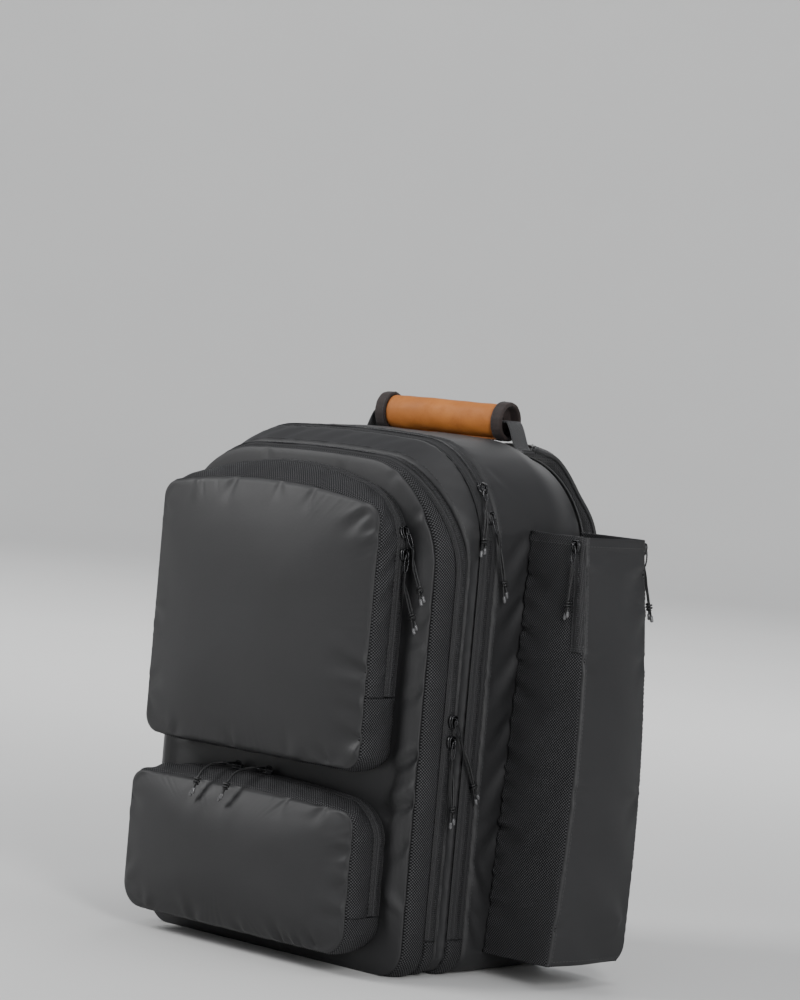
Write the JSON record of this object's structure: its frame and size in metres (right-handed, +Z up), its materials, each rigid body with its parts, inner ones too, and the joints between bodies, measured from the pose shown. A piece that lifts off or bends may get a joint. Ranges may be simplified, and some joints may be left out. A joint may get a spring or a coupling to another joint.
{
  "type": "baseball bat backpack",
  "caption": "Tall soft backpack with two zipped front pockets, an open-topped bat sleeve on one side, padded shoulder straps and a leather-wrapped grab handle.",
  "frame": {"origin": "middle of the base of the main body, where the bag stands", "axes": "+Z up, +Y to the wearer's back, +X to the side with the bat sleeve"},
  "size_m": [0.4456, 0.3581, 0.5253],
  "materials": {
    "coated_cloth": "matte coated cloth with a soft sheen",
    "coarse_nylon": "coarse woven nylon",
    "zip_tape": "ribbed zip tape with a coil",
    "padding_cloth": "padded knitted cloth",
    "webbing": "woven strap webbing",
    "leather": "smooth tan leather",
    "leather_binding": "dark bound leather edge",
    "black_plastic": "moulded, satin",
    "black_metal": "glossy black enamel",
    "cord": "round braided cord"
  },
  "bodies": {
    "root": {"body_wall": "coated_cloth", "main_zip": "zip_tape", "main_zip_base": "coarse_nylon", "main_front": "coated_cloth", "front_zip": "zip_tape", "front_zip_base": "coarse_nylon", "front_gusset": "coarse_nylon", "front_face": "coated_cloth", "divider_panel": "coated_cloth", "upper_pocket_face": "coated_cloth", "upper_pocket_gusset": "coarse_nylon", "upper_pocket_zip": "zip_tape", "upper_pocket_base": "coarse_nylon", "lower_pocket_face": "coated_cloth", "lower_pocket_gusset": "coarse_nylon", "lower_pocket_zip": "zip_tape", "lower_pocket_base": "coarse_nylon", "sleeve_front": "coarse_nylon", "sleeve_side": "coated_cloth", "sleeve_rear": "coarse_nylon", "sleeve_base": "coarse_nylon", "sleeve_zip_front": "zip_tape", "sleeve_zip_rear": "zip_tape", "back_panel": "padding_cloth", "shoulder_pad_right": "padding_cloth", "strap_buckle_right": "black_plastic", "lower_webbing_right": "webbing", "shoulder_pad_left": "padding_cloth", "strap_buckle_left": "black_plastic", "lower_webbing_left": "webbing", "handle_webbing": "webbing", "handle_wrap": "leather", "handle_binding_right": "leather_binding", "handle_binding_left": "leather_binding", "upper_pocket_slider_1": "black_metal", "upper_pocket_slider_2": "black_metal", "front_zip_slider_1": "black_metal", "front_zip_slider_2": "black_metal", "main_zip_slider_1": "black_metal", "main_zip_slider_2": "black_metal", "lower_pocket_slider_1": "black_metal", "lower_pocket_slider_2": "black_metal", "sleeve_slider_front": "black_metal", "sleeve_slider_rear": "black_metal", "upper_pocket_cord_1": "cord", "upper_pocket_cord_2": "cord", "front_zip_cord_1": "cord", "front_zip_cord_2": "cord", "main_zip_cord_1": "cord", "main_zip_cord_2": "cord", "lower_pocket_cord_1": "cord", "lower_pocket_cord_2": "cord", "sleeve_cord_front": "cord", "sleeve_cord_rear": "cord"}
  },
  "joints": []
}
